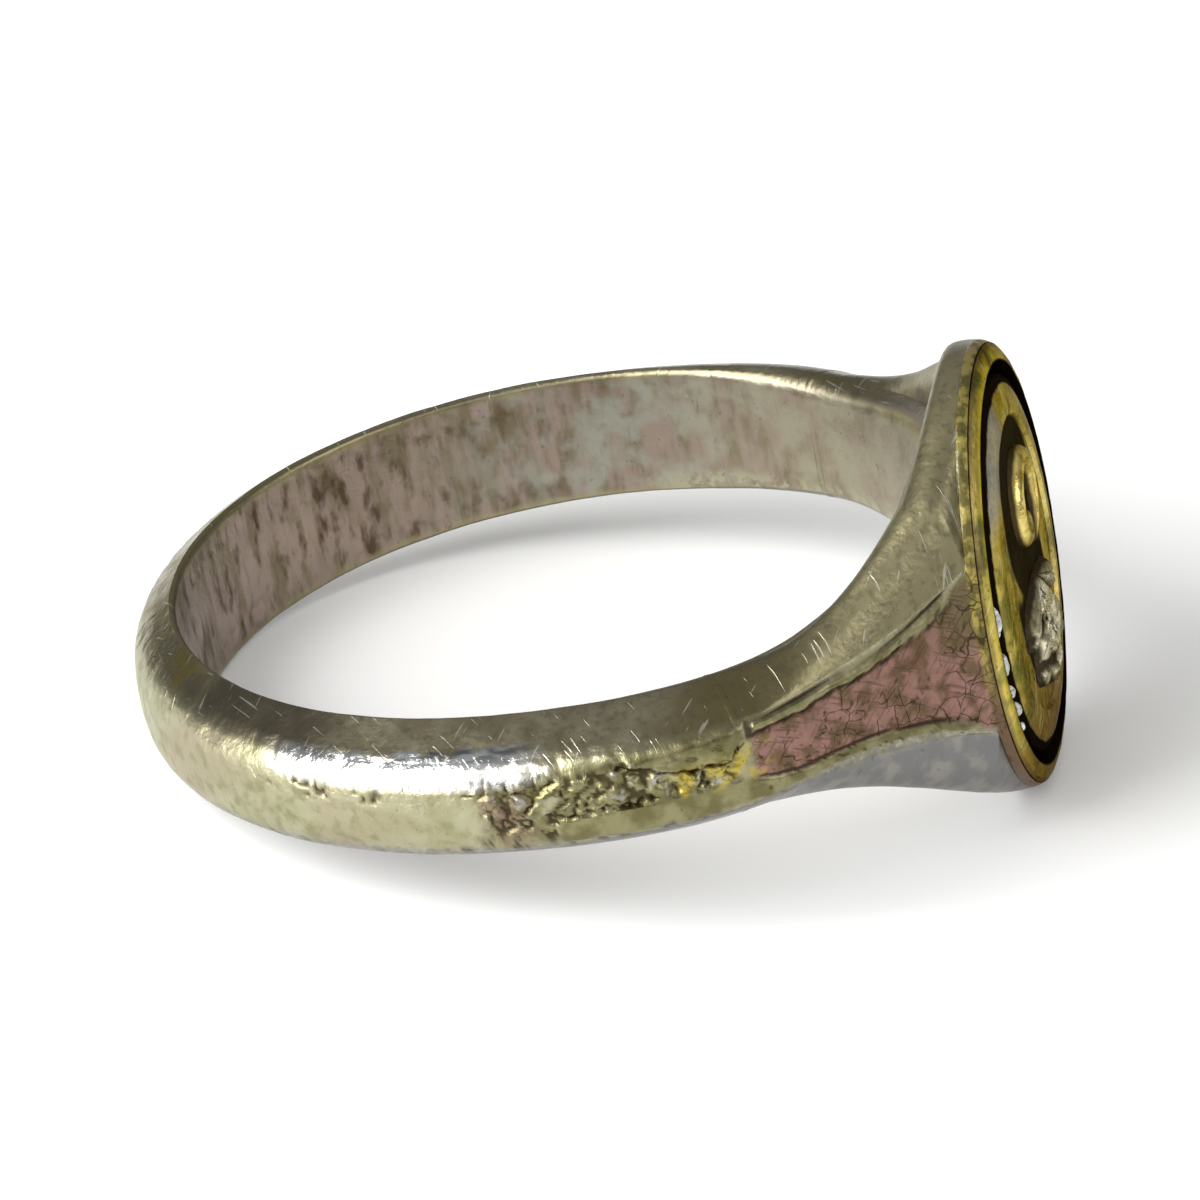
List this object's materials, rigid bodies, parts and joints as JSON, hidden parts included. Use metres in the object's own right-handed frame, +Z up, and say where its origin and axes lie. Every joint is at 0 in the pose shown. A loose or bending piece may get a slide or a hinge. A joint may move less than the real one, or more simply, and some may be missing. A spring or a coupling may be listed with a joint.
{
  "type": "signet ring",
  "caption": "Worn silver-alloy signet ring with flat shoulder facets and an oval gilt plaque with raised scroll and leaf ornament, set in a gilt lip",
  "frame": {"origin": "Middle of the bounding box in plan, at its lowest level: the plane the ring lies on.", "axes": "+X from the back of the ring towards its head, +Z up, with the ring lying on its side on the lower edge of its back and of its head. The finger hole is nearly upright: its axis leans about ten degrees from +Z away from the head."},
  "size_m": [0.0232, 0.0226, 0.011],
  "materials": {
    "body_metal": "worn silvery white-metal alloy, brassy olive where the plating is thin, polished streaks, pits and fine scratches",
    "head_metal": "worn silvery cast alloy, finely scratched, coppery pink on the shoulder facets",
    "seam_solder": "pale silver solder, slightly rough",
    "lip_gilt": "worn gilding, lime-yellow to tan, with tarnish",
    "bed_solder": "dark dirty solder",
    "plaque_gilt": "worn gilding, mottled olive and brown",
    "ridge_gilt": "bright gilding",
    "leaf_silver": "silvery relief with dark tarnish in the folds",
    "crumb_solder": "pale grey-white solder crumbs"
  },
  "bodies": {
    "root": {"shank_band": "body_metal", "head_casting": "head_metal", "shoulder_solder_near": "seam_solder", "shoulder_solder_far": "seam_solder", "bezel_collar": "lip_gilt", "plaque_bed_solder": "bed_solder", "plaque": "plaque_gilt", "scroll_ridge": "ridge_gilt", "leaf_relief": "leaf_silver", "gap_solder_1": "crumb_solder", "gap_solder_2": "crumb_solder", "gap_solder_3": "crumb_solder", "gap_solder_4": "crumb_solder", "gap_solder_5": "crumb_solder"}
  },
  "joints": []
}
